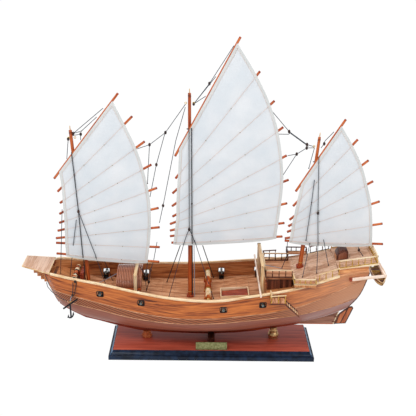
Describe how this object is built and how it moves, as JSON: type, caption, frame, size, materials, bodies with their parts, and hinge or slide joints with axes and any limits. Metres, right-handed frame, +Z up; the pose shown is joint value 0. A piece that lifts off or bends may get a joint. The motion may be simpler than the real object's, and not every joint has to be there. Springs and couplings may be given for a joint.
{
  "type": "chinese junk ship model",
  "caption": "Wooden display model of a junk with raked masts, battened sails, high stern, deck guns and a hanging boat, on a moulded plinth with brass pedestals.",
  "frame": {"origin": "centre of the plinth's underside", "axes": "+X towards the stern along the keel, +Y towards starboard, +Z up"},
  "size_m": [0.7427, 0.2584, 0.6508],
  "materials": {
    "plinth_lacquer": "gloss navy-black lacquer on moulded wood",
    "plinth_top_mahogany": "polished mahogany veneer",
    "brass": "turned and sheet brass, lightly aged",
    "hull_wood": "varnished strip planking",
    "dark_red_wood": "red-brown varnished wood",
    "deck_planks": "pale nailed deck planks, satin",
    "pale_wood": "cream wood, satin",
    "spar_wood": "orange-brown stained wood, satin",
    "mat_roof": "ribbed mat roof, satin",
    "sail_cloth": "white cotton cloth with tan seams",
    "black_iron": "black painted cast metal, satin"
  },
  "bodies": {
    "ship": {"anchor": "black_iron", "balcony_port": "pale_wood", "balcony_starboard": "pale_wood", "bow_platform": "pale_wood", "bow_steps": "deck_planks", "bow_windlass": "spar_wood", "cannon_port_1": "black_iron", "cannon_port_2": "black_iron", "cannon_port_3": "black_iron", "cannon_port_4": "black_iron", "cannon_starboard_1": "black_iron", "cannon_starboard_2": "black_iron", "cannon_starboard_3": "black_iron", "cannon_starboard_4": "black_iron", "companion": "dark_red_wood", "crossbeam": "spar_wood", "deckhouse": "dark_red_wood", "deckhouse_rail": "pale_wood", "dinghy": "dark_red_wood", "fore_mast": "spar_wood", "gallows_aft": "pale_wood", "gallows_fore": "pale_wood", "gangway_port": "dark_red_wood", "gangway_starboard": "dark_red_wood", "hatch": "dark_red_wood", "hull": "hull_wood", "hut_base": "spar_wood", "hut_roof": "mat_roof", "keel": "dark_red_wood", "keel_block": "dark_red_wood", "main_deck": "deck_planks", "main_mast": "spar_wood", "mid_windlass": "spar_wood", "mizzen_mast": "spar_wood", "name_plate": "brass", "pedestal_aft": "brass", "pedestal_fore": "brass", "poop_deck": "deck_planks", "poop_house": "hull_wood", "poop_rail_aft": "pale_wood", "poop_rail_port": "pale_wood", "poop_rail_starboard": "pale_wood", "rail_port": "pale_wood", "rail_starboard": "pale_wood", "stand_base": "plinth_lacquer", "stand_top": "plinth_top_mahogany", "stern_davits": "pale_wood"},
    "rudder_blade": {"rudder": "spar_wood"},
    "fore_rig": {"fore_sail": "sail_cloth", "fore_battens": "spar_wood", "fore_yard": "spar_wood", "fore_boom": "spar_wood"},
    "main_rig": {"main_sail": "sail_cloth", "main_battens": "spar_wood", "main_yard": "spar_wood", "main_boom": "spar_wood"},
    "mizzen_rig": {"mizzen_sail": "sail_cloth", "mizzen_battens": "spar_wood", "mizzen_yard": "spar_wood", "mizzen_boom": "spar_wood"}
  },
  "joints": [
    {"name": "rudder_swing", "type": "hinge", "parent": "ship", "child": "rudder_blade", "pos_m": [0.25907, 0, 0.05125], "axis": [0.3417, 0, 0.9398], "range_deg": [-30, 30]},
    {"name": "fore_sail_swing", "type": "hinge", "parent": "ship", "child": "fore_rig", "pos_m": [-0.2546, 0, 0.13649], "axis": [-0.0897, 0, 0.996], "range_deg": [-12, 12]},
    {"name": "main_sail_swing", "type": "hinge", "parent": "ship", "child": "main_rig", "pos_m": [-0.045, 0, 0.113], "axis": [-0.0106, 0, 0.9999], "range_deg": [-12, 12]},
    {"name": "mizzen_sail_swing", "type": "hinge", "parent": "ship", "child": "mizzen_rig", "pos_m": [0.1812, 0, 0.18152], "axis": [0.0993, 0, 0.9951], "range_deg": [-12, 12]}
  ]
}
